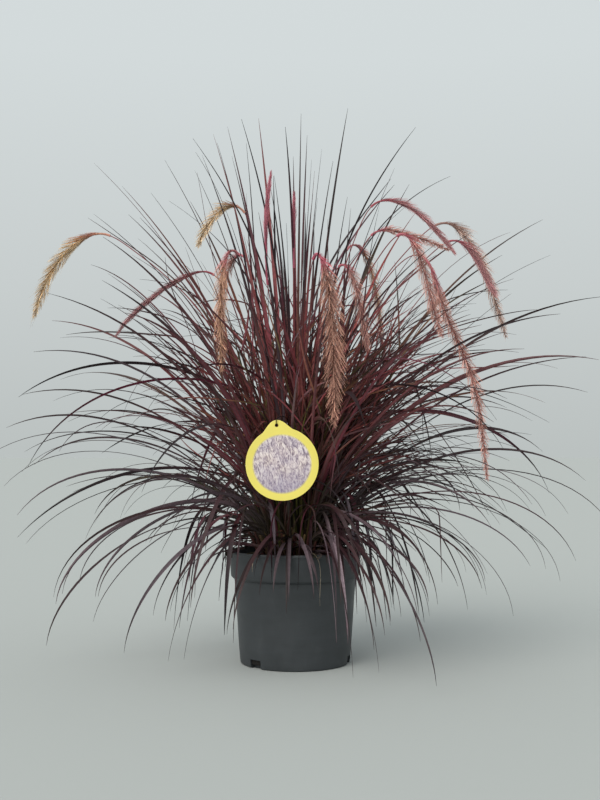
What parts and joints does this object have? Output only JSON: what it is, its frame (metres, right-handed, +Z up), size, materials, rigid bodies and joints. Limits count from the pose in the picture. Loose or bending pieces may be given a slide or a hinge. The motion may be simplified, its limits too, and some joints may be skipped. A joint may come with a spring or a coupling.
{
  "type": "potted fountain grass clump",
  "caption": "Clump of purple fountain grass with arching burgundy leaves and bristly tan and pink flower plumes, in a slate-grey nursery pot with a round yellow hang label.",
  "frame": {"origin": "centre of the pot's base, on the surface that the pot stands on", "axes": "+Z up along the pot's axis; -Y is the front, where the label hangs; +X to the right as seen from the front"},
  "size_m": [0.8697, 0.8223, 0.815],
  "materials": {
    "pot_plastic": "injection-moulded polypropylene, fine matt mould texture",
    "potting_mix": "moist bark and peat crumbs with a few pale perlite grains",
    "dry_crown": "crowded shoot bases with dry papery sheaths",
    "leaf": "burgundy leaf blades, satin upper side, olive at the base",
    "flower_stem": "smooth reddish-brown stems",
    "plume": "soft bristles, pink when young and golden tan when ripe",
    "label_plastic": "printed polypropylene sheet, yellow border",
    "tie": "thin olive tie"
  },
  "bodies": {
    "root": {"pot": "pot_plastic", "potting_mix": "potting_mix", "grass_crown": "dry_crown", "leaf_tuft_01": "leaf", "leaf_tuft_02": "leaf", "leaf_tuft_03": "leaf", "leaf_tuft_04": "leaf", "leaf_tuft_05": "leaf", "leaf_tuft_06": "leaf", "leaf_tuft_07": "leaf", "leaf_tuft_08": "leaf", "leaf_tuft_09": "leaf", "leaf_tuft_10": "leaf", "leaf_tuft_11": "leaf", "leaf_tuft_12": "leaf", "leaf_tuft_13": "leaf", "leaf_tuft_14": "leaf", "leaf_tuft_15": "leaf", "leaf_tuft_16": "leaf", "leaf_tuft_17": "leaf", "leaf_tuft_18": "leaf", "leaf_tuft_19": "leaf", "leaf_tuft_20": "leaf", "leaf_tuft_21": "leaf", "flower_stem_01": "flower_stem", "flower_stem_02": "flower_stem", "flower_stem_03": "flower_stem", "flower_stem_04": "flower_stem", "flower_stem_05": "flower_stem", "flower_stem_06": "flower_stem", "flower_stem_07": "flower_stem", "flower_stem_08": "flower_stem", "flower_stem_09": "flower_stem", "flower_stem_10": "flower_stem", "flower_stem_11": "flower_stem", "flower_stem_12": "flower_stem", "flower_stem_13": "flower_stem", "flower_stem_14": "flower_stem", "flower_stem_15": "flower_stem", "flower_stem_16": "flower_stem", "flower_plume_01": "plume", "flower_plume_02": "plume", "flower_plume_03": "plume", "flower_plume_04": "plume", "flower_plume_05": "plume", "flower_plume_06": "plume", "flower_plume_07": "plume", "flower_plume_08": "plume", "flower_plume_09": "plume", "flower_plume_10": "plume", "flower_plume_11": "plume", "flower_plume_12": "plume", "flower_plume_13": "plume", "flower_plume_14": "plume", "flower_plume_15": "plume", "flower_plume_16": "plume", "hang_label": "label_plastic", "label_tie": "tie"}
  },
  "joints": []
}
